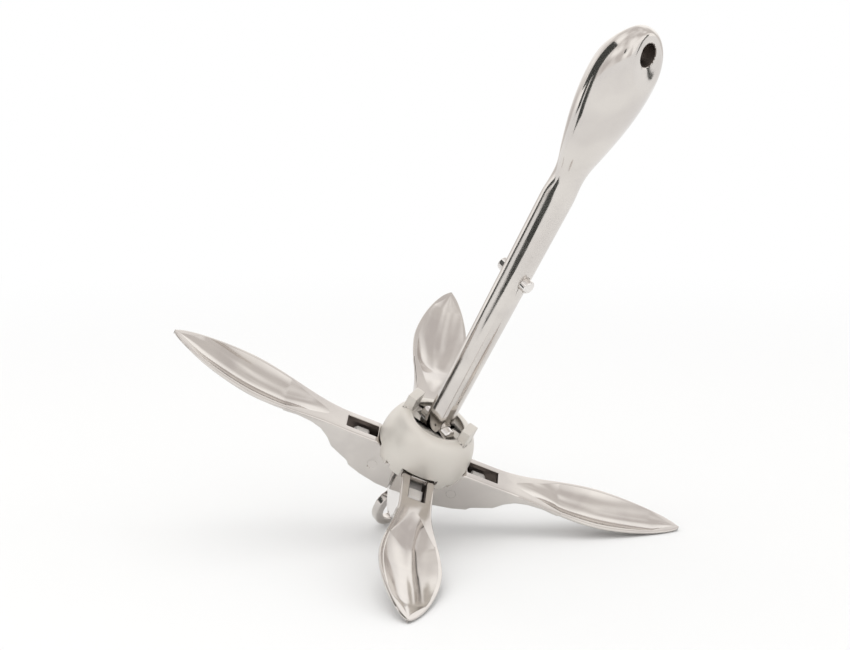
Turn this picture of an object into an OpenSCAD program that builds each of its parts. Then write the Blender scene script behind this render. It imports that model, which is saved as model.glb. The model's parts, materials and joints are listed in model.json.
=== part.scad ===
// Folding grapnel anchor: four spoon-shaped flukes hinged on a crown, a shank with a shackle
// head, and a sliding locking collar. It stands open, leaning on two fluke tips and the trip eye.

/* [Flukes] */
// Distance from the shank's centre line to a fluke's tip
tip_r = 140; // [130:1:150]
// Half the width of a fluke's blade at its widest
blade_hw = 15.8; // [13:0.1:18]
// Depth of the hollow in a blade
blade_dish = 4.6; // [2:0.1:6]
// Thickness of a blade's wall
blade_wall = 2.6; // [2:0.1:4]
// Half the width of a fluke's arm
arm_hw = 8.6; // [8:0.1:8.8]
// Thickness of the arm's two cheeks
cheek_wall = 2.2; // [1.5:0.1:2.4]
// Depth of the arm's top face below the tips
arm_drop = 13; // [11:0.5:14]

/* [Pivots] */
// Distance from the shank's centre line to a fluke's pivot
pivot_r = 22; // [21.5:0.1:22.5]
// Depth of the pivots below the tips
pivot_drop = 27; // [26:0.5:28]
// Radius of the pivot pins
pin_r = 2.5; // [2:0.1:3]
// Radial clearance of a cheek on its pin
pin_clearance = 0.06; // [0.03:0.01:0.1]

/* [Shank] */
// Height of the head's top above the tips
head_top = 237; // [232:1:245]
// Half the shank's width over its corners, at the bottom
shank_low_r = 6.5; // [6:0.1:7]
// Half the shank's width over its corners, under the head
shank_high_r = 8; // [7:0.1:8.4]
// Radius of the shackle hole
shackle_r = 5; // [4:0.1:6]
// Length of the shackle hole's straight wall
shackle_wall = 12; // [8:0.5:14]
// Height of the shackle hole above the tips
shackle_z = 227; // [220:1:228]

/* [Studs] */
// Radius of the two stud pins
stud_r = 3.4; // [3:0.1:3.8]
// Length of a stud pin
stud_length = 21; // [19:0.5:22]
// Height of the upper stud pin
upper_stud_z = 101; // [100:0.5:110]
// Height of the lower stud pin
lower_stud_z = 5; // [4.5:0.1:8]

/* [Collar] */
// Outer radius of the locking collar
collar_r = 24.5; // [24:0.1:26]
// Height of the two tabs above the tips
tab_top = 13.5; // [11:0.5:15]
// Half the width of a tab
tab_hw = 5.2; // [4:0.1:6]

/* [Trip eye] */
// Radius of the hole for a trip line
eye_hole_r = 9; // [8:0.1:10.4]
// Outer radius of the eye
eye_r = 14; // [13:0.1:14.4]
// Thickness of the eye's plate
eye_plate = 4.6; // [4:0.1:5]
// Depth of the eye's lowest point below the tips
eye_drop = 65.4; // [64:0.1:68]

/* [Stance] */
// Lean of the shank from upright, towards +X and -Y by equal parts
lean = 33.1; // [0:0.1:40]
// Place of the fluke tips' centre above the middle of the stance
stance = [0.2, -0.2, 56.1]; // [-100:0.1:100]

/* [Hidden] */
$fn = 64;

steel = [0.82, 0.80, 0.77];
steel_shade = [0.70, 0.68, 0.66];
pin_steel = [0.88, 0.87, 0.85];

// Gap left between pieces that touch on the real anchor
gap = 0.3;
// Overshoot of a cutting shape past the face that it opens
over = 1;

// The arm: its top wall, which falls away inboard of relief_r, and the window in it
arm_wall = 2.5;
relief_r = pivot_r + 2.6;
relief_drop = 1.1;
arm_in = pivot_r - 0.5;
window_in = 25;
window_out = 42;
window_hw = 4.4;

// The blade: it starts under the arm, widens to belly_r and runs out to the tip
blade_start = 44;
belly_r = 95;
dish_start = 48;
blade_steps = 24;
rib_steps = 10;

// The crown: a square hub with four lugs between the cheeks
hub_hw = 8.2;
hub_top = -27.5;
hub_bottom = -41;
lug_hw = 3.8;
lug_end_r = 8.5;
lug_reach = 37;
lug_top = -16.6;
tenon_r = 4.8;
tenon_length = 7;

// The head: an egg shape, wider across its hole than along it
head_start = 145;
head_start_r = 5;

// The shank's bar: its top, inside the head, and its chamfer as a share of its half width
shank_top = 165;
chamfer = 0.2;
head_max_r = 15.9;
head_max_z = 210;
head_across = 1.15;
head_along = 0.86;

// The collar: a dome that rests on the arms, with a web under its rim
collar_mid = -10;
collar_bottom = -19.5;
collar_top = 7;
collar_mouth_r = 14.2;
collar_wall = 2.8;
web_top = 4.2;
web_wall = 3;
web_r = 19;
web_hole_r = 8.8;
tab_turn = -22.5;
tab_wall = 5;
key_r = stud_length / 2 + 1.1;
key_hw = stud_r + 0.7;
notch_hw = arm_hw + 0.6;
rim_notch = 3;

// The eye: how far its hole's centre stands below the centre of its round end
eye_hole_sink = 0.8;

// Places something by the anchor's stance on the ground
module standing() {
    translate(stance) rotate(a = lean, v = [1, 1, 0]) children();
}

// A bar across the shank, towards the corner between the right and front flukes
module across(r, length) {
    rotate([0, 0, -45]) rotate([0, 90, 0]) cylinder(r = r, h = length, center = true);
}

// Half the width of the blade at a distance from the shank
function blade_half(r) =
    r < belly_r
        ? arm_hw + (blade_hw - arm_hw) * pow(sin(90 * (r - blade_start) / (belly_r - blade_start)), 2)
        : blade_hw * pow(max(0, 1 - pow((r - belly_r) / (tip_r - belly_r), 1.6)), 0.7);

// Height of the blade's rim at a distance from the shank
function rim_z(r) = -arm_drop * (1 - pow(max(0, r - 40) / (tip_r - 40), 1.45));

// Depth of the hollow at a distance from the shank
function dish_at(r) = r < dish_start ? 0 : blade_dish * sin(180 * (r - dish_start) / (tip_r - dish_start));

// One cross-section of the blade: over the hollow top, then back along the round underside
function rib(r) =
    let (hw = max(0.4, blade_half(r)), z = rim_z(r), dish = dish_at(r),
         wall = min(blade_wall, 0.8 + hw / 3))
    concat(
        [for (i = [0:rib_steps]) let (s = -1 + 2 * i / rib_steps)
            [r, s * hw, z - dish * (1 - s * s)]],
        [for (i = [0:rib_steps]) let (s = 1 - 2 * i / rib_steps)
            [r, s * (hw - 0.3), z - wall / 2 - (dish + wall / 2) * (1 - s * s)]]);

module blade() {
    ribs = [for (k = [0:blade_steps])
        let (t = k / blade_steps)
        rib(blade_start + (tip_r - 0.3 - blade_start) * (1 - pow(1 - t, 1.3)))];
    size = len(ribs[0]);
    sides = [for (k = [0:blade_steps - 1]) for (i = [0:size - 1])
        let (a = k * size + i, b = k * size + (i + 1) % size)
        each [[a, b, a + size], [b, b + size, a + size]]];
    half = size / 2;
    near_end = [for (i = [0:half - 2]) each [
        [i, size - 1 - i, i + 1], [i + 1, size - 1 - i, size - 2 - i]]];
    last = blade_steps * size;
    far_end = [for (i = [0:half - 2]) each [
        [last + i, last + i + 1, last + size - 1 - i],
        [last + i + 1, last + size - 2 - i, last + size - 1 - i]]];
    polyhedron(points = [for (ring = ribs) each ring], faces = concat(sides, near_end, far_end));
}

// The outline of a cheek, seen from the side
module cheek_outline() {
    heel = pivot_r - (hub_hw + 0.9);
    polygon([
        [pivot_r - heel, -pivot_drop], [pivot_r - heel, -38.6], [15.5, -38.4], [26, -36],
        [33, -33.2], [34, -31.2], [38, -29.6], [45.2, -26.2], [49, -21.6], [54, -17.6],
        [60, -arm_drop - 2], [60, -arm_drop - 0.6], [relief_r, -arm_drop - 0.1],
        [arm_in, -arm_drop - relief_drop], [arm_in, -pivot_drop]]);
    intersection() {
        translate([pivot_r, -pivot_drop]) circle(r = heel);
        translate([0, -pivot_drop]) square([arm_in + 1, 2 * heel]);
    }
}

module cheeks() {
    for (side = [-1, 1])
        translate([0, side * (arm_hw - cheek_wall / 2), 0])
            rotate([90, 0, 0])
                linear_extrude(height = cheek_wall, center = true) cheek_outline();
}

module arm() {
    difference() {
        rotate([90, 0, 0]) linear_extrude(height = 2 * arm_hw, center = true) polygon([
            [arm_in, -arm_drop - arm_wall], [blade_start + 3, -arm_drop - arm_wall],
            [blade_start + 3, -arm_drop], [relief_r, -arm_drop], [arm_in, -arm_drop - relief_drop]]);
        translate([window_in, -window_hw, -arm_drop - arm_wall - over])
            cube([window_out - window_in, 2 * window_hw, arm_wall + 2 * over]);
    }
}

// A fluke: blade, arm and cheeks in one, bored for its pivot pin
module fluke(angle) {
    color(steel) standing() rotate([0, 0, angle]) difference() {
        union() {
            blade();
            arm();
            cheeks();
        }
        translate([pivot_r, 0, -pivot_drop]) rotate([90, 0, 0])
            cylinder(r = pin_r + pin_clearance, h = 2 * arm_hw + 2 * over, center = true);
    }
}

// A pivot pin, riveted flush with the outsides of the cheeks
module pivot_pin(angle) {
    color(pin_steel) standing() rotate([0, 0, angle])
        translate([pivot_r, 0, -pivot_drop]) rotate([90, 0, 0]) cylinder(r = pin_r, h = 2 * arm_hw, center = true);
}

// One lug of the crown, a plate that stands between a fluke's cheeks
module lug() {
    rotate([90, 0, 0]) linear_extrude(height = 2 * lug_hw, center = true) {
        polygon([
            [0, hub_bottom + 1], [14, hub_bottom + 2], [26, -36.4], [33, -32], [lug_reach, -28],
            [lug_reach, lug_top - 1.6], [lug_reach - 1.4, lug_top], [29.5, lug_top], [28.5, lug_top - 1],
            [28.5, -19.2],
            [pivot_r, -pivot_drop + lug_end_r - 1], [pivot_r - lug_end_r + 1, -pivot_drop],
            [hub_hw, -pivot_drop - 1], [0, -pivot_drop - 1]]);
        translate([pivot_r, -pivot_drop]) circle(r = lug_end_r);
    }
}

module crown() {
    color(steel_shade) standing() difference() {
        union() {
            translate([-hub_hw, -hub_hw, hub_bottom])
                cube([2 * hub_hw, 2 * hub_hw, hub_top - hub_bottom]);
            for (angle = [0:90:270]) rotate([0, 0, angle]) lug();
        }
        translate([0, 0, hub_top - tenon_length]) cylinder(r = tenon_r, h = tenon_length + over);
        translate([0, 0, hub_bottom - over]) cylinder(r = eye_plate / 2 - 0.2, h = 20);
        for (angle = [0:90:270]) rotate([0, 0, angle])
            translate([pivot_r, 0, -pivot_drop]) rotate([90, 0, 0])
                cylinder(r = pin_r, h = 2 * lug_hw + 2 * over, center = true);
    }
}

// The square bar of the shank, tapered, with its chamfered corners towards the flukes
module shank_bar() {
    function ring(r, z) = [for (a = [0:90:270]) for (c = [-chamfer, chamfer])
        [r * cos(a) - c * r * sin(a), r * sin(a) + c * r * cos(a), z]];
    sides = [for (k = [0:7]) [k, k + 8, (k + 1) % 8 + 8, (k + 1) % 8]];
    polyhedron(
        points = concat(ring(shank_low_r, hub_top), ring(shank_high_r, shank_top)),
        faces = concat(sides, [[0, 1, 2, 3, 4, 5, 6, 7], [15, 14, 13, 12, 11, 10, 9, 8]]));
}

// Radius of the head at a height, before it is widened across the hole
function head_radius(z) =
    z < head_max_z
        ? head_start_r + (head_max_r - head_start_r) * pow(sin(90 * (z - head_start) / (head_max_z - head_start)), 1.5)
        : head_max_r * sqrt(max(0.001, 1 - pow((z - head_max_z) / (head_top - head_max_z), 2.2)));

module head() {
    rings = 18;
    sides = 36;
    points = [for (i = [0:rings])
        let (z = head_start + (head_top - head_start) * sin(90 * i / rings), r = head_radius(z))
        for (k = [0:sides - 1])
            [head_along * r * cos(360 * k / sides), head_across * r * sin(360 * k / sides), z]];
    skin = [for (i = [0:rings - 1]) for (k = [0:sides - 1])
        let (a = i * sides + k, b = i * sides + (k + 1) % sides)
        each [[a, a + sides, b], [b, a + sides, b + sides]]];
    floor_face = [for (k = [0:sides - 1]) k];
    top_face = [for (k = [sides - 1:-1:0]) rings * sides + k];
    rotate([0, 0, -45]) polyhedron(points = points, faces = concat(skin, [floor_face, top_face]));
}

// The shackle hole: a straight bore with a wide, dished mouth at each end
module shackle_hole() {
    dish_depth = 9;
    translate([0, 0, shackle_z]) rotate([0, 0, -45]) rotate([0, 90, 0]) {
        cylinder(r = shackle_r, h = 60, center = true);
        for (side = [0, 180]) rotate([side, 0, 0])
            translate([0, 0, shackle_wall / 2])
                cylinder(r1 = shackle_r, r2 = shackle_r + dish_depth, h = dish_depth);
    }
}

module shank() {
    color(steel) standing() difference() {
        union() {
            shank_bar();
            translate([0, 0, hub_top - tenon_length])
                cylinder(r = tenon_r, h = tenon_length + over);
            head();
        }
        shackle_hole();
        for (z = [lower_stud_z, upper_stud_z]) translate([0, 0, z]) across(stud_r, 30);
    }
}

// A stud pin, driven through the shank, with rounded ends
module stud(z) {
    end_round = 1;
    straight = stud_length - 2 * end_round;
    color(pin_steel) standing() translate([0, 0, z]) rotate([0, 0, -45]) rotate([0, 90, 0])
        rotate_extrude() polygon([
            [0, -stud_length / 2], [stud_r - end_round, -stud_length / 2], [stud_r, -straight / 2],
            [stud_r, straight / 2], [stud_r - end_round, stud_length / 2], [0, stud_length / 2]]);
}

// The trip eye: a plate with a wide hole, hung from the crown by a stem
module trip_eye() {
    round_z = -eye_drop + eye_r;
    overlap = 1;
    stem_length = hub_top - tenon_length - hub_bottom - 0.1 + overlap;
    color(steel) standing() difference() {
        union() {
            rotate([0, 0, -45]) rotate([0, 90, 0]) linear_extrude(height = eye_plate, center = true) {
                translate([-hub_bottom, -eye_r]) square([hub_bottom - round_z, 2 * eye_r]);
                translate([-round_z, 0]) intersection() {
                    circle(r = eye_r);
                    translate([0, -eye_r]) square([eye_r, 2 * eye_r]);
                }
            }
            translate([0, 0, hub_bottom - overlap]) cylinder(r = eye_plate / 2 - 0.2, h = stem_length);
        }
        translate([0, 0, round_z - eye_hole_sink]) across(eye_hole_r, 2 * eye_plate);
    }
}

// The dome of the collar, turned about the shank
module collar_shell() {
    steps = 16;
    // Outer radius of the dome at a height
    function dome(z) =
        z > collar_mid
            ? collar_mouth_r + collar_wall * 0.4 + (collar_r - collar_mouth_r - collar_wall * 0.4)
                * sqrt(1 - pow((z - collar_mid) / (collar_top - collar_mid), 2))
            : collar_r - 2 * pow((collar_mid - z) / (collar_mid - collar_bottom), 2);
    outer = [for (i = [0:steps])
        let (z = collar_bottom + (collar_top - collar_bottom) * sin(90 * i / steps)) [dome(z), z]];
    inner = [for (i = [steps:-1:0])
        let (z = collar_bottom + (collar_top - collar_bottom) * sin(90 * i / steps))
        [max(collar_mouth_r, dome(z) - collar_wall), z]];
    rotate_extrude($fn = 96) polygon(concat(outer, inner));
}

module collar() {
    color(steel) standing() difference() {
        union() {
            collar_shell();
            translate([0, 0, web_top - web_wall]) cylinder(r = web_r, h = web_wall);
            for (side = [0, 180]) rotate([0, 0, side + tab_turn])
                translate([collar_mouth_r - 0.4, -tab_hw, web_top - over])
                    cube([tab_wall, 2 * tab_hw, tab_top - web_top + over]);
        }
        translate([0, 0, web_top - web_wall - over])
            cylinder(r = web_hole_r, h = web_wall + 2 * over);
        for (angle = [45, 135]) rotate([0, 0, angle])
            translate([-key_r, -key_hw, web_top - web_wall - over])
                cube([2 * key_r, 2 * key_hw, web_wall + 2 * over]);
        for (angle = [0:90:270]) rotate([0, 0, angle]) {
            translate([10, -notch_hw, collar_bottom - over])
                cube([30, 2 * notch_hw, -arm_drop + gap - collar_bottom + over]);
            rotate([0, 0, 45]) translate([10, -rim_notch / 2, collar_bottom - over])
                cube([30, rim_notch, rim_notch + over]);
        }
    }
}

shank();
stud(upper_stud_z);  // upper_stud
stud(lower_stud_z);  // lower_stud
crown();
trip_eye();
collar();
fluke(0);  // fluke_right
fluke(90);  // fluke_back
fluke(180);  // fluke_left
fluke(270);  // fluke_front
pivot_pin(0);  // pivot_pin_right
pivot_pin(90);  // pivot_pin_back
pivot_pin(180);  // pivot_pin_left
pivot_pin(270);  // pivot_pin_front
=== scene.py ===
"""Folding grapnel anchor of polished steel, standing open on a white floor."""

import json
import math

import bmesh
import bpy
from mathutils import Matrix, Vector


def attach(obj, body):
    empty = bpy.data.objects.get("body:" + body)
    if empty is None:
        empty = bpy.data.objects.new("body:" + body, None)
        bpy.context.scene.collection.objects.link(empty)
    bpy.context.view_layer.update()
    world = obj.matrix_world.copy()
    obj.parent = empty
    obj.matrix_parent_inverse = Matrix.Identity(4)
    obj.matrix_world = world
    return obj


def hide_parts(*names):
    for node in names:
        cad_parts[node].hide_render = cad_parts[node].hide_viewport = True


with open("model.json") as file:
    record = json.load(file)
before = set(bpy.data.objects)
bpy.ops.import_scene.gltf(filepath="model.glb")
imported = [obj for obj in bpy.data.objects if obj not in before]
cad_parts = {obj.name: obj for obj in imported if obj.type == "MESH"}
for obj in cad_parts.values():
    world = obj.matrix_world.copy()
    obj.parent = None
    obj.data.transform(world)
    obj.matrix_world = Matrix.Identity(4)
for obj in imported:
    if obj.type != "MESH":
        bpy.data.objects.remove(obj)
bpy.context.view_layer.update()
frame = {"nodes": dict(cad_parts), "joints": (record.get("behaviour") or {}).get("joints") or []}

MM = 0.001

# In mm, in the anchor's own frame: R is a radius, or a place's distance from the shank's centre line
PIVOT_R, PIVOT_Z = 22.0, -27.0
SHACKLE_R, SHACKLE_Z = 5, 227
STUD_R, STUD_HEIGHTS = 3.4, {"upper_stud": 101, "lower_stud": 5}

joints = {joint["name"]: joint for joint in frame["joints"]}


def anchor_matrix():
    """The anchor's own frame, in mm: X towards the right fluke, Z up the shank, origin between the tips."""
    up = Vector(joints["collar_slide"]["axis"]).normalized()
    right = Vector(joints["fluke_right_fold"]["pos_m"])
    left = Vector(joints["fluke_left_fold"]["pos_m"])
    across = (right - left).normalized()
    origin = (right + left) / 2 - up * PIVOT_Z * MM
    turn = Matrix((across, up.cross(across), up)).transposed().to_4x4()
    return Matrix.Translation(origin) @ turn @ Matrix.Scale(MM, 4)


def about_shank(degrees):
    """A turn about the shank's centre line."""
    return Matrix.Rotation(math.radians(degrees), 4, "Z")


ANCHOR = anchor_matrix()
DIAGONAL = about_shank(-45)
SIDEWAYS = DIAGONAL @ Matrix.Rotation(math.pi / 2, 4, "Y")


def through_shank(z):
    """Turns a solid's own Z into the direction of the studs and the shackle hole, at a height."""
    return Matrix.Translation((0, 0, z)) @ SIDEWAYS


def clamp(value, low=0.0, high=1.0):
    return max(low, min(high, value))


def smooth(t):
    """Rises from 0 to 1 with no kink at either end."""
    t = clamp(t)
    return t * t * (3 - 2 * t)


def between(points, x):
    """Straight-line value at x of a list of (x, value) corners."""
    for (x0, v0), (x1, v1) in zip(points, points[1:]):
        if x <= x1:
            return v0 + (v1 - v0) * clamp((x - x0) / (x1 - x0))
    return points[-1][1]


# ---- building meshes, in the anchor's frame in mm ----

def make(name, points, faces):
    """A mesh object whose faces all look outwards."""
    mesh = bpy.data.meshes.new(name)
    mesh.from_pydata(points, [], faces)
    shell = bmesh.new()
    shell.from_mesh(mesh)
    bmesh.ops.recalc_face_normals(shell, faces=shell.faces)
    shell.to_mesh(mesh)
    shell.free()
    obj = bpy.data.objects.new(name, mesh)
    bpy.context.scene.collection.objects.link(obj)
    return obj


def loft(name, rings):
    """A closed skin over rings of equal length, with a flat cap at each end."""
    size = len(rings[0])
    points = [p for ring in rings for p in ring]
    faces = [
        (k * size + i, k * size + (i + 1) % size, (k + 1) * size + (i + 1) % size, (k + 1) * size + i)
        for k in range(len(rings) - 1)
        for i in range(size)
    ]
    last = (len(rings) - 1) * size
    faces += [tuple(range(size)), tuple(range(last, last + size))]
    return make(name, points, faces)


def lathe(name, profile, sides, turn=Matrix.Identity(4)):
    """A closed profile of (radius, height) corners turned about Z."""
    rings = [
        [turn @ Vector((r * math.cos(a), r * math.sin(a), z)) for r, z in profile]
        for a in (math.tau * k / sides for k in range(sides))
    ]
    size = len(profile)
    points = [p for ring in rings for p in ring]
    faces = [
        (k * size + i, k * size + (i + 1) % size,
         (k + 1) % sides * size + (i + 1) % size, (k + 1) % sides * size + i)
        for k in range(sides)
        for i in range(size)
    ]
    return make(name, points, faces)


def spindle(name, profile, sides, turn=Matrix.Identity(4)):
    """A solid of rings from one end to the other: (radius, height) corners turned about Z."""
    return loft(name, [
        [turn @ Vector((r * math.cos(a), r * math.sin(a), z))
         for a in (math.tau * k / sides for k in range(sides))]
        for r, z in profile
    ])


def rod(name, radius, low, high, sides, turn=Matrix.Identity(4)):
    """A round bar from one height to another."""
    return spindle(name, [(radius, low), (radius, high)], sides, turn)


def block(name, low, high, turn=Matrix.Identity(4)):
    """A box between two opposite corners."""
    (x0, y0, z0), (x1, y1, z1) = low, high
    corners = [turn @ Vector((x, y, z)) for z in (z0, z1) for y in (y0, y1) for x in (x0, x1)]
    faces = [(0, 1, 3, 2), (4, 5, 7, 6), (0, 1, 5, 4), (2, 3, 7, 6), (0, 2, 6, 4), (1, 3, 7, 5)]
    return make(name, corners, faces)


def combine(obj, other, operation):
    """Adds the other solid to obj, or cuts it out."""
    modifier = obj.modifiers.new("solid", "BOOLEAN")
    modifier.operation = operation
    modifier.solver = "EXACT"
    modifier.object = other
    apply_modifiers(obj)
    bpy.data.objects.remove(other)


def apply_modifiers(obj):
    graph = bpy.context.evaluated_depsgraph_get()
    obj.data = bpy.data.meshes.new_from_object(obj.evaluated_get(graph))
    obj.modifiers.clear()


def harden(obj, width, angle):
    """Rounds the sharp edges for good, before more is cut and while the mesh is still in mm."""
    soften(obj, width / MM, 2, angle)
    apply_modifiers(obj)


def soften(obj, width, segments, angle):
    """Small rounded edges on the corners sharper than an angle in degrees; the width is in mm."""
    bevel = obj.modifiers.new("edges", "BEVEL")
    bevel.width = width * MM
    bevel.segments = segments
    bevel.limit_method = "ANGLE"
    bevel.angle_limit = math.radians(angle)
    bevel.use_clamp_overlap = False
    bevel.miter_outer = "MITER_ARC"
    even_normals(obj, 80)


def even_normals(obj, weight):
    """Normals that keep the flat faces flat."""
    obj.modifiers.new("normals", "WEIGHTED_NORMAL").weight = weight


def paint(obj, *materials):
    """Gives the object these materials in place of any it had."""
    obj.data.materials.clear()
    for material in materials:
        obj.data.materials.append(material)


def settle(obj, body, nodes, material, turn=Matrix.Identity(4)):
    """Puts a mesh in its place in the row frame, on its body and in place of its CAD nodes."""
    obj.data.transform(ANCHOR @ turn)
    obj.data.update()
    obj.data.shade_smooth()
    if not obj.data.materials:
        paint(obj, material)
    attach(obj, body)
    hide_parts(*nodes)


# ---- materials ----

def steel(name, tint, shade, rough, ripple, grain, metal=1.0):
    """Steel whose tint, polish and evenness all vary a little; ripple and grain are heights in mm."""
    material = bpy.data.materials.new(name)
    material.use_nodes = True
    nodes, links = material.node_tree.nodes, material.node_tree.links
    shader = nodes["Principled BSDF"]
    shader.inputs["Metallic"].default_value = metal
    place = nodes.new("ShaderNodeTexCoord")

    def noise(scale, detail, distortion=0.0):
        texture = nodes.new("ShaderNodeTexNoise")
        texture.inputs["Scale"].default_value = scale
        texture.inputs["Detail"].default_value = detail
        texture.inputs["Distortion"].default_value = distortion
        links.new(place.outputs["Object"], texture.inputs["Vector"])
        return texture.outputs["Fac"]

    def remap(value, low, high, to_low, to_high):
        node = nodes.new("ShaderNodeMapRange")
        node.inputs["From Min"].default_value = low
        node.inputs["From Max"].default_value = high
        node.inputs["To Min"].default_value = to_low
        node.inputs["To Max"].default_value = to_high
        links.new(value, node.inputs["Value"])
        return node.outputs["Result"]

    mix = nodes.new("ShaderNodeMix")
    mix.data_type = "RGBA"
    mix.inputs["A"].default_value = (*shade, 1)
    mix.inputs["B"].default_value = (*tint, 1)
    links.new(remap(noise(38, 3, 0.6), 0.35, 0.65, 0, 1), mix.inputs["Factor"])
    links.new(mix.outputs["Result"], shader.inputs["Base Color"])
    links.new(remap(noise(90, 4, 0.4), 0.3, 0.7, *rough), shader.inputs["Roughness"])
    wide = nodes.new("ShaderNodeBump")
    wide.inputs["Strength"].default_value = 0.25
    wide.inputs["Distance"].default_value = ripple * MM
    links.new(noise(55, 1.5, 0.3), wide.inputs["Height"])
    fine = nodes.new("ShaderNodeBump")
    fine.inputs["Strength"].default_value = 0.3
    fine.inputs["Distance"].default_value = grain * MM
    links.new(noise(2600, 3), fine.inputs["Height"])
    links.new(wide.outputs["Normal"], fine.inputs["Normal"])
    links.new(fine.outputs["Normal"], shader.inputs["Normal"])
    return material


# Painted shade: a rougher steel with a dark colour, for the faces inside the arms, the windows and the
# shackle hole, where shade falls
inside_shade = steel("Painted.Shade.Steel", tint=(0.24, 0.205, 0.185), shade=(0.16, 0.135, 0.12),
               rough=(0.35, 0.55), ripple=0.5, grain=0.05)
polished = steel("Polished.Steel", tint=(0.70, 0.665, 0.63), shade=(0.62, 0.585, 0.56),
                 rough=(0.08, 0.15), ripple=0.5, grain=0.006)
satin = steel("Satin.Steel", tint=(0.66, 0.625, 0.575), shade=(0.64, 0.605, 0.555),
              rough=(0.36, 0.42), ripple=0.1, grain=0.001, metal=0.4)
cast = steel("Cast.Steel", tint=(0.80, 0.77, 0.74), shade=(0.68, 0.65, 0.62),
             rough=(0.34, 0.48), ripple=0.5, grain=0.03, metal=0.4)
pin_metal = steel("Pin.Steel", tint=(0.80, 0.775, 0.75), shade=(0.72, 0.69, 0.67),
                  rough=(0.10, 0.18), ripple=0.2, grain=0.004)


# ---- flukes ----

# Distances r are from the shank's centre line, and HW is half a width
TIP_R, WIDEST_R, BLADE_START = 140.0, 95, 44
ARM_HW, BLADE_HW = 8.6, 15.8
ARM_TOP, CHEEK_WALL, ARM_WALL = -13.0, 2.2, 2.5
HEEL_RADIUS, HEEL_END = 12.9, 21.5
RELIEF_END, RELIEF_DROP = 24.6, 1.1
HOLLOW_START, HOLLOW_END = 52, 137
CHANNEL_HW = 6.42
WINDOW_IN, WINDOW_OUT, WINDOW_HW = 25, 42, 4.4
PIN_R = 2.56

# The rim's rounding and its outer face, how much each loses further out, and the blade's thickness
RIM_ROUND, RIM_ROUND_LOSS = 1.1, 0.35
RIM_FACE, RIM_FACE_LOSS = 1.9, 0.9
SHELL = 2.2

# The lower edge of a cheek, which rises into the edge of the blade: (r, height) of its corners
CHEEK_EDGE = [(9.1, -38.6), (15.5, -38.4), (26, -36), (33, -33.4), (34.5, -31.2), (38, -29.6),
              (45.2, -26.2), (49, -21.6), (54, -17.6), (60, -15.1), (68, -13.2), (76, -12.6)]


def half_width(r):
    """Half the fluke's width: the straight arm, the swell of the blade, then the pointed end."""
    if r < WIDEST_R:
        swell = clamp((r - BLADE_START) / (WIDEST_R - BLADE_START))
        return ARM_HW + (BLADE_HW - ARM_HW) * math.sin(math.pi / 2 * swell) ** 2
    return BLADE_HW * clamp(1 - ((r - WIDEST_R) / (TIP_R - WIDEST_R)) ** 1.6) ** 0.7


def rim_height(r):
    """Height of the fluke's top: the round heel, the relief, the arm, then the rise to the tip."""
    if r < HEEL_END:
        return PIVOT_Z + math.sqrt(max(0.0, HEEL_RADIUS ** 2 - (r - PIVOT_R) ** 2))
    if r < RELIEF_END:
        return ARM_TOP - RELIEF_DROP * (RELIEF_END - r) / (RELIEF_END - HEEL_END)
    return ARM_TOP * (1 - clamp((r - 40) / (TIP_R - 40)) ** 1.45)


def hollow_half(r):
    """Half the width of the hollow: it starts round on the arm and ends before the tip."""
    room = half_width(r) - 1.5
    return max(0.02, room * clamp((r - HOLLOW_START) / 26) ** 0.5 * clamp((HOLLOW_END - r) / 12) ** 0.5)


def hollow_slope(r):
    """Depth of the hollow against half its width."""
    return 0.4 * math.sin(math.pi * clamp((r - 40) / 104) ** 0.9) ** 0.6 * smooth((r - 46) / 34)


def fluke_ring(r):
    """Cross-section of a fluke: over the hollow top, round the edge, down a cheek and back under it."""
    hw, top = max(0.35, half_width(r)), rim_height(r)
    blade = smooth((r - 50) / 22)
    edge = min(RIM_ROUND - RIM_ROUND_LOSS * blade, hw * 0.45)
    edge_low = top - max(2 * edge, RIM_FACE - RIM_FACE_LOSS * clamp((r - 120) / 20))
    leg = min(between(CHEEK_EDGE, r), edge_low) if r < CHEEK_EDGE[-1][0] else edge_low
    wall = min(CHEEK_WALL, hw * 0.5)
    hollow = min(hollow_half(r), hw * 0.86)
    depth = hollow * hollow_slope(r)
    belly = (depth + SHELL) * blade
    half = []
    for i in range(13):
        y = hollow * math.sin(math.pi / 2 * i / 12)
        half.append((y, top - depth * (1 - (y / hollow) ** 2)))
    flat = hw - edge
    for i in range(1, 4):
        half.append((hollow + (flat - hollow) * i / 3, top))
    for i in range(1, 6):
        a = math.pi / 2 * i / 5
        half.append((flat + edge * math.sin(a), top - edge + edge * math.cos(a)))
    round_low = min(0.7, wall * 0.4, (top - edge - leg) * 0.5)
    for i in range(1, 4):
        z0, z1 = top - edge, leg + round_low
        half.append((hw, z0 + (z1 - z0) * i / 4))
    for i in range(0, 6):
        a = math.pi * i / 5
        half.append((hw - wall / 2 + wall / 2 * math.cos(a), leg + round_low - round_low * math.sin(a)))
    under = top - ARM_WALL
    for i in range(1, 5):
        z0, z1 = leg + round_low, (under if blade < 1 else leg + round_low)
        reach = z0 + (z1 - z0) * (1 - blade)
        half.append((hw - wall - 0.02 * i, z0 + (reach - z0) * i / 4))
    y_join, z_join = half[-1]
    for i in range(1, 11):
        y = y_join * (1 - math.sin(math.pi / 2 * i / 10))
        half.append((y, z_join - (belly - max(0.0, top - z_join) * blade) * (1 - (y / y_join) ** 2) * blade))
    right = [(r, y, z) for y, z in half]
    left = [(r, -y, z) for y, z in reversed(half[1:-1])]
    return right + left


def stations():
    """The distances of a fluke's cross-sections, closest at the heel and the tip."""
    heel = [PIVOT_R - HEEL_RADIUS * math.cos(math.pi / 2 * i / 14) for i in range(14)]
    arm = [PIVOT_R + i for i in range(24)]
    neck = [46 + 0.75 * i for i in range(40)]
    blade = [76 + 1.2 * i for i in range(46)]
    tip = [131.2 + 8.7 * math.sin(math.pi / 2 * i / 14) for i in range(1, 15)]
    return heel + arm + neck + blade + tip


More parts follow.
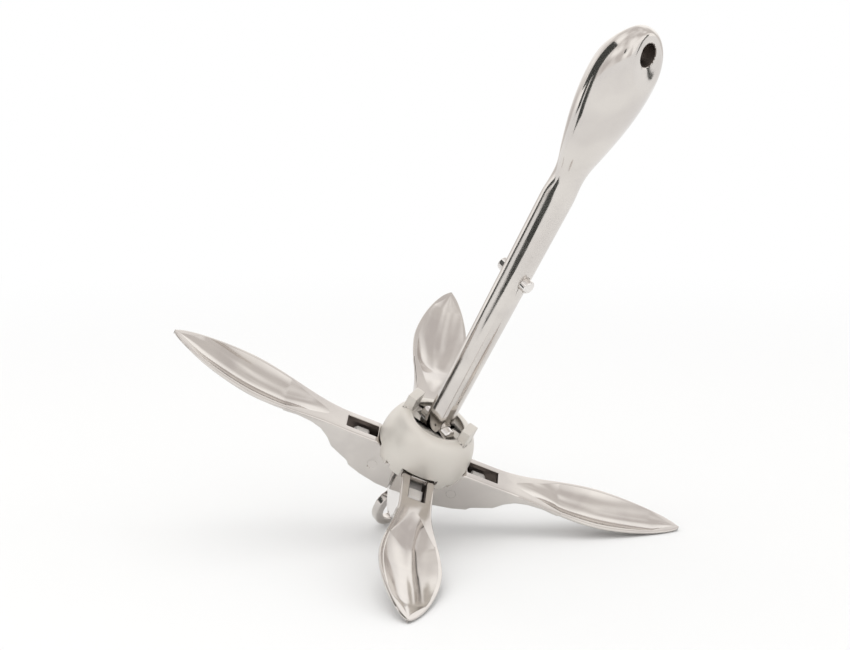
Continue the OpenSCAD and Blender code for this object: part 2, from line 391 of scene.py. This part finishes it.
def shade_inside(fluke):
    """The faces inside the arm and its window take the second material: rougher steel whose dark colour is
    painted shade.
    """
    paint(fluke, polished, inside_shade)
    for face in fluke.data.polygons:
        x, y, z = face.center
        below_rim = rim_height(x) - z
        if x < 64 and abs(y) < CHANNEL_HW + 0.04 and below_rim > (0.2 if x < 45 else 2.4):
            faces_centre = y * face.normal.y < -0.05 * abs(y)
            inner = faces_centre or face.normal.z < -0.3 or face.normal.x < -0.9
            face.material_index = 1 if inner else 0
        elif WINDOW_IN - 0.1 < x < WINDOW_OUT + 0.1 and abs(y) < WINDOW_HW + 0.1 and z < ARM_TOP - 0.2:
            face.material_index = 1


def build_fluke():
    """One fluke, pointing along X from the shank."""
    fluke = loft("fluke", [fluke_ring(r) for r in stations()])
    combine(fluke, block("heel_gap", (5, -CHANNEL_HW, -50), (HEEL_END, CHANNEL_HW, -5)), "DIFFERENCE")
    window = block("window", (WINDOW_IN, -WINDOW_HW, -18), (WINDOW_OUT, WINDOW_HW, -5))
    combine(fluke, window, "DIFFERENCE")
    shade_inside(fluke)
    harden(fluke, 0.35, 42)
    pivot = Matrix.Translation((PIVOT_R, 0, PIVOT_Z)) @ Matrix.Rotation(math.pi / 2, 4, "X")
    combine(fluke, rod("pin_hole", PIN_R, -12, 12, 48, pivot), "DIFFERENCE")
    return fluke


FLUKES = {"right": 0, "back": 90, "left": 180, "front": 270}
master = build_fluke()
for name, angle in FLUKES.items():
    copy = bpy.data.objects.new(f"fluke_{name}.polished", master.data.copy())
    bpy.context.scene.collection.objects.link(copy)
    settle(copy, f"fluke_{name}", [f"fluke_{name}"], polished, about_shank(angle))
    even_normals(copy, 60)
bpy.data.objects.remove(master)


# ---- shank and head ----

SHANK_BOTTOM, BAR_TOP = -27.5, 165
BAR_HW, BAR_TAPER, CHAMFER = 6.5, 1.5, 1.2
HEAD_START, HEAD_WIDEST, HEAD_TOP = 145, 210, 237
NECK_R, HEAD_R = 5, 15.9
HEAD_THIN, HEAD_BROAD = 0.86, 1.15
DISH_Z, DISH_TALL, DISH_WIDE, DISH_DEPTH = 225.5, 14.5, 12.5, 4.4
TENON_R, TENON_BOTTOM = 4.8, -34.5


def bar_radius(z, angle):
    """Distance of the shank's eight-sided bar from its centre line, in a direction."""
    size = BAR_HW + BAR_TAPER * clamp((z - SHANK_BOTTOM) / (BAR_TOP - SHANK_BOTTOM))
    corner = abs((math.degrees(angle) + 45) % 90 - 45)
    flat_corner = size / math.cos(math.radians(corner))
    face = size * CHAMFER / math.sqrt(2) / math.cos(math.radians(45 - corner))
    return 1.05 * (flat_corner ** -8 + face ** -8) ** (-1 / 8)


def head_radius(z, angle):
    """Distance of the egg-shaped head from the centre line."""
    if z < HEAD_WIDEST:
        rise = clamp((z - HEAD_START) / (HEAD_WIDEST - HEAD_START))
        size = NECK_R + (HEAD_R - NECK_R) * math.sin(math.pi / 2 * rise) ** 1.5
    else:
        size = HEAD_R * math.sqrt(max(0.0, 1 - ((z - HEAD_WIDEST) / (HEAD_TOP - HEAD_WIDEST)) ** 2.2))
    turned = angle + math.pi / 4
    return size / math.hypot(math.cos(turned) / HEAD_THIN, math.sin(turned) / HEAD_BROAD)


def dished(x, y, z):
    """Presses a smooth oval hollow into both faces of the head, round the shackle hole."""
    out, aside = (x - y) / math.sqrt(2), (x + y) / math.sqrt(2)
    share = 1 - ((z - DISH_Z) / DISH_TALL) ** 2 - (aside / DISH_WIDE) ** 2
    if share <= 0:
        return (x, y, z)
    press = DISH_DEPTH * share ** 2 * smooth((abs(out) - 2) / 5)
    out -= math.copysign(press, out)
    return ((out + aside) / math.sqrt(2), (aside - out) / math.sqrt(2), z)


def shank_ring(z, sides=144):
    """Cross-section of the shank, from the bar over the neck into the head."""
    ring = []
    for k in range(sides):
        a = math.tau * k / sides
        bar, head = bar_radius(min(z, BAR_TOP), a), head_radius(z, a)
        blend = smooth((z - 146) / 26)
        r = bar + (head - bar) * blend
        ring.append(dished(r * math.cos(a), r * math.sin(a), z))
    return ring


def build_shank():
    """The shank and its head, with a tenon below, the shackle hole and the holes for the studs."""
    heights = [SHANK_BOTTOM + i * 4.5 for i in range(38)] + [143.5 + i for i in range(66)]
    heights += [HEAD_WIDEST + 26.97 * math.sin(math.pi / 2 * i / 26) for i in range(1, 27)]
    shank = loft("shank.polished", [shank_ring(z) for z in heights])
    combine(shank, rod("tenon", TENON_R, TENON_BOTTOM, SHANK_BOTTOM + 1.5, 48), "UNION")
    combine(shank, rod("shackle", SHACKLE_R, -16, 16, 64, through_shank(SHACKLE_Z)), "DIFFERENCE")
    for z in sorted(STUD_HEIGHTS.values()):
        combine(shank, rod("stud_hole", STUD_R, -15, 15, 48, through_shank(z)), "DIFFERENCE")
    # The shackle hole's bore takes the dark second material: painted shade in the hole
    paint(shank, polished, inside_shade)
    for face in shank.data.polygons:
        x, y, z = face.center
        out, aside = abs(x - y) / math.sqrt(2), (x + y) / math.sqrt(2)
        if math.hypot(aside, z - SHACKLE_Z) < SHACKLE_R + 0.2 and out < 11:
            face.material_index = 1
    return shank


shank = build_shank()
settle(shank, "shank", ["shank"], polished)
soften(shank, 0.4, 2, 38)


def build_stud(name, z):
    """A pin with rounded ends, driven through the shank."""
    half, dome = 10.5, 1.1
    end = [(STUD_R - dome + dome * math.sin(a), half - dome + dome * math.cos(a))
           for a in (math.pi / 2 * i / 6 for i in range(7))]
    top = [(STUD_R * 0.5, half)] + end
    profile = [(r, -h) for r, h in top] + [(r, h) for r, h in reversed(top)]
    return spindle(name, profile, 64, through_shank(z))


for name, z in STUD_HEIGHTS.items():
    settle(build_stud(f"{name}.pin", z), "shank", [name], pin_metal)


# ---- collar ----

MOUTH_R, COLLAR_R, COLLAR_WALL = 14.2, 24.5, 2.8
COLLAR_BOTTOM, COLLAR_MID, COLLAR_TOP = -19.5, -10, 7
WEB_R, WEB_HOLE_R = 19, 8.8
WEB_BOTTOM, WEB_TOP = 1.2, 4.2
TAB_IN, TAB_OUT, TAB_HW, TAB_TOP = 13.8, 18.8, 5.2, 13.5
KEYWAY_REACH, KEYWAY_HW = 11.6, 4.1
TAB_ANGLES, KEYWAY_ANGLES = (-22.5, 157.5), (45, 135)


def dome_radius(z):
    """Outside of the collar: a round shoulder above its middle, drawn in a little below it."""
    crest = MOUTH_R + COLLAR_WALL * 0.4
    if z > COLLAR_MID:
        share = (z - COLLAR_MID) / (COLLAR_TOP - COLLAR_MID)
        return crest + (COLLAR_R - crest) * math.sqrt(max(0.0, 1 - share ** 2))
    return COLLAR_R - 2 * ((COLLAR_MID - z) / (COLLAR_MID - COLLAR_BOTTOM)) ** 2


def build_collar():
    """A dome with two tabs on its lip, and inside it a web with a keyway for the studs."""
    height = COLLAR_TOP - COLLAR_BOTTOM
    levels = [COLLAR_BOTTOM + height * math.sin(math.pi / 2 * i / 32) for i in range(33)]
    outer = [(dome_radius(z), z) for z in levels]
    inner = [(max(MOUTH_R, r - COLLAR_WALL), z) for r, z in reversed(outer)]
    collar = lathe("collar.polished", outer + inner, 144)
    combine(collar, rod("web", WEB_R, WEB_BOTTOM, WEB_TOP, 96), "UNION")
    for angle in TAB_ANGLES:
        low, high = (TAB_IN, -TAB_HW, WEB_TOP - 1), (TAB_OUT, TAB_HW, TAB_TOP)
        combine(collar, block("tab", low, high, about_shank(angle)), "UNION")
    combine(collar, rod("web_hole", WEB_HOLE_R, -1, 6, 64), "DIFFERENCE")
    for angle in KEYWAY_ANGLES:
        low, high = (-KEYWAY_REACH, -KEYWAY_HW, -1), (KEYWAY_REACH, KEYWAY_HW, 6)
        combine(collar, block("keyway", low, high, about_shank(angle)), "DIFFERENCE")
    for angle in FLUKES.values():
        notch = block("arm_notch", (10, -9.2, -21), (40, 9.2, ARM_TOP + 0.3), about_shank(angle))
        combine(collar, notch, "DIFFERENCE")
        notch = block("rim_notch", (10, -1.5, -21), (40, 1.5, -16.5), about_shank(angle + 45))
        combine(collar, notch, "DIFFERENCE")
    return collar


collar = build_collar()
settle(collar, "collar", ["collar"], satin)
soften(collar, 0.45, 3, 38)


# ---- crown, pins and trip eye ----

crown = frame["nodes"]["crown"]
weld = crown.modifiers.new("weld", "WELD")
weld.merge_threshold = 0.00002
soften(crown, 0.5, 3, 38)
paint(crown, cast)


def build_eye():
    """A plate with a wide hole, round below and with rounded shoulders above, on a short stem."""
    centre, radius, half_plate = -51.4, 14.0, 2.3
    hole_r, hole_sink = 9, 0.8
    stem_r, stem_bottom, stem_top = 2.1, -41.4, -34.6
    outline = [(radius * math.sin(a), centre - radius * math.cos(a))
               for a in (math.pi * (i / 48 - 0.5) for i in range(49))]
    shoulder = [(14, -48.5), (13.4, -46.3), (12, -44), (9.6, -42), (6, -41)]
    outline += shoulder + [(-y, z) for y, z in reversed(shoulder)]
    rings = [[DIAGONAL @ Vector((x, y, z)) for y, z in outline] for x in (-half_plate, half_plate)]
    eye = loft("trip_eye.polished", rings)
    combine(eye, rod("hole", hole_r, -8, 8, 96, through_shank(centre - hole_sink)), "DIFFERENCE")
    combine(eye, rod("stem", stem_r, stem_bottom, stem_top, 32), "UNION")
    return eye


eye = build_eye()
settle(eye, "shank", ["trip_eye"], polished)
soften(eye, 0.8, 4, 38)

for name in FLUKES:
    pin = frame["nodes"][f"pivot_pin_{name}"]
    paint(pin, polished)


# ---- studio ----

def studio_paint(name, colour, rough, variation):
    """Plain paint whose tone varies a little."""
    material = bpy.data.materials.new(name)
    material.use_nodes = True
    nodes, links = material.node_tree.nodes, material.node_tree.links
    shader = nodes["Principled BSDF"]
    shader.inputs["Roughness"].default_value = rough
    place = nodes.new("ShaderNodeTexCoord")
    texture = nodes.new("ShaderNodeTexNoise")
    texture.inputs["Scale"].default_value = 3
    links.new(place.outputs["Object"], texture.inputs["Vector"])
    mix = nodes.new("ShaderNodeMix")
    mix.data_type = "RGBA"
    mix.inputs["A"].default_value = (*[c * (1 - variation) for c in colour], 1)
    mix.inputs["B"].default_value = (*colour, 1)
    links.new(texture.outputs["Fac"], mix.inputs["Factor"])
    links.new(mix.outputs["Result"], shader.inputs["Base Color"])
    return material


def fade_to_white(material, near, far):
    """The floor runs out into the white of the studio between two distances from the anchor."""
    nodes, links = material.node_tree.nodes, material.node_tree.links
    place = nodes.new("ShaderNodeTexCoord")
    distance = nodes.new("ShaderNodeVectorMath")
    distance.operation = "LENGTH"
    links.new(place.outputs["Object"], distance.inputs[0])
    fade = nodes.new("ShaderNodeMapRange")
    fade.interpolation_type = "SMOOTHSTEP"
    fade.inputs["From Min"].default_value = near
    fade.inputs["From Max"].default_value = far
    links.new(distance.outputs["Value"], fade.inputs["Value"])
    glow = nodes.new("ShaderNodeEmission")
    glow.inputs["Color"].default_value = (1, 1, 1, 1)
    glow.inputs["Strength"].default_value = 1.0
    mix = nodes.new("ShaderNodeMixShader")
    links.new(fade.outputs["Result"], mix.inputs[0])
    links.new(nodes["Principled BSDF"].outputs[0], mix.inputs[1])
    links.new(glow.outputs[0], mix.inputs[2])
    links.new(mix.outputs[0], nodes["Material Output"].inputs["Surface"])
    material.cycles.emission_sampling = "NONE"


def sheet(name, centre, across, up, material):
    """A flat rectangle: a centre and the two half sides, in metres."""
    centre, across, up = Vector(centre), Vector(across), Vector(up)
    mesh = bpy.data.meshes.new(name)
    corners = [centre - across - up, centre + across - up, centre + across + up, centre - across + up]
    mesh.from_pydata(corners, [], [(0, 1, 2, 3)])
    mesh.materials.append(material)
    obj = bpy.data.objects.new(name, mesh)
    bpy.context.scene.collection.objects.link(obj)
    return obj


white = studio_paint("Floor.White", (0.80, 0.80, 0.797), 0.7, 0.01)
fade_to_white(white, 0.2, 1.2)
sheet("floor", (0, 0, 0), (6, 0, 0), (0, 6, 0), white)

dark = studio_paint("Card.Dark", (0.060, 0.064, 0.060), 0.9, 0.2)


def card(name, centre, across, up):
    """A dark card that only shows in the steel."""
    obj = sheet(name, centre, across, up, dark)
    obj.visible_camera = False
    obj.visible_shadow = False
    obj.visible_diffuse = False


card("card_near", (-0.30, -0.12, 0.17), (0.0, 0.05, 0), (0, 0, 0.13))
card("card_head", (-0.25, -0.07, 0.43), (0.0, 0.16, 0), (0.07, -0.07, 0.15))
card("card_left", (-1.5, 0.28, 0.42), (0.03, 0.15, 0), (0.0, 0, 0.42))
card("card_camera", (0.0, -1.7, 0.75), (0.08, 0, 0), (0, 0, 0.16))
card("card_right", (1.5, -0.2, 0.35), (0.02, 0.10, 0), (0, 0, 0.35))


def softbox(name, place, aim, size, power):
    """A large soft light, which doesn't show in the steel."""
    light = bpy.data.lights.new(name, "AREA")
    light.shape = "RECTANGLE"
    light.size, light.size_y = size
    light.energy = power
    light.color = (1, 0.99, 0.975)
    obj = bpy.data.objects.new(name, light)
    obj.location = place
    obj.rotation_euler = (Vector(aim) - Vector(place)).to_track_quat("-Z", "Y").to_euler()
    obj.visible_glossy = False
    bpy.context.scene.collection.objects.link(obj)


softbox("light_top", (-0.2, -0.1, 1.9), (0, 0, 0), (1.6, 1.6), 9)
softbox("light_left", (-1.6, -0.8, 1.0), (0, 0, 0.1), (1.0, 1.4), 4)
softbox("light_right", (1.7, -0.5, 0.9), (0, 0, 0.1), (0.9, 1.3), 3)


def light_tent():
    """Plain white to the eye; a soft white tent with greyer and warmer parts to the steel."""
    world = bpy.data.worlds.new("studio")
    world.use_nodes = True
    nodes, links = world.node_tree.nodes, world.node_tree.links
    tent = nodes["Background"]
    plain = nodes.new("ShaderNodeBackground")
    plain.inputs["Color"].default_value = (1, 1, 1, 1)
    plain.inputs["Strength"].default_value = 1.0
    place = nodes.new("ShaderNodeTexCoord")
    cloud = nodes.new("ShaderNodeTexNoise")
    cloud.inputs["Scale"].default_value = 1.7
    cloud.inputs["Detail"].default_value = 1.5
    links.new(place.outputs["Generated"], cloud.inputs["Vector"])
    ramp = nodes.new("ShaderNodeValToRGB")
    ramp.color_ramp.elements[0].position = 0.38
    ramp.color_ramp.elements[0].color = (0.60, 0.575, 0.56, 1)
    ramp.color_ramp.elements[1].position = 0.60
    ramp.color_ramp.elements[1].color = (1.0, 0.99, 0.975, 1)
    links.new(cloud.outputs["Fac"], ramp.inputs["Fac"])
    links.new(ramp.outputs["Color"], tent.inputs["Color"])
    tent.inputs["Strength"].default_value = 1.25
    path = nodes.new("ShaderNodeLightPath")
    mix = nodes.new("ShaderNodeMixShader")
    links.new(path.outputs["Is Glossy Ray"], mix.inputs[0])
    links.new(plain.outputs[0], mix.inputs[1])
    links.new(tent.outputs[0], mix.inputs[2])
    links.new(mix.outputs[0], nodes["World Output"].inputs["Surface"])
    return world


bpy.context.scene.world = light_tent()
bpy.context.scene.view_settings.view_transform = "Standard"

CAMERA_PLACE, CAMERA_AIM = Vector((-0.0041, -0.7527, 0.2279)), Vector((-0.0040, -0.0014, 0.1109))

camera_data = bpy.data.cameras.new("camera")
camera_data.lens = 63.94
camera_data.sensor_width = 36
camera_data.dof.use_dof = False
camera = bpy.data.objects.new("camera", camera_data)
camera.location = CAMERA_PLACE
camera.rotation_euler = (CAMERA_AIM - CAMERA_PLACE).to_track_quat("-Z", "Y").to_euler()
bpy.context.scene.collection.objects.link(camera)
bpy.context.scene.camera = camera
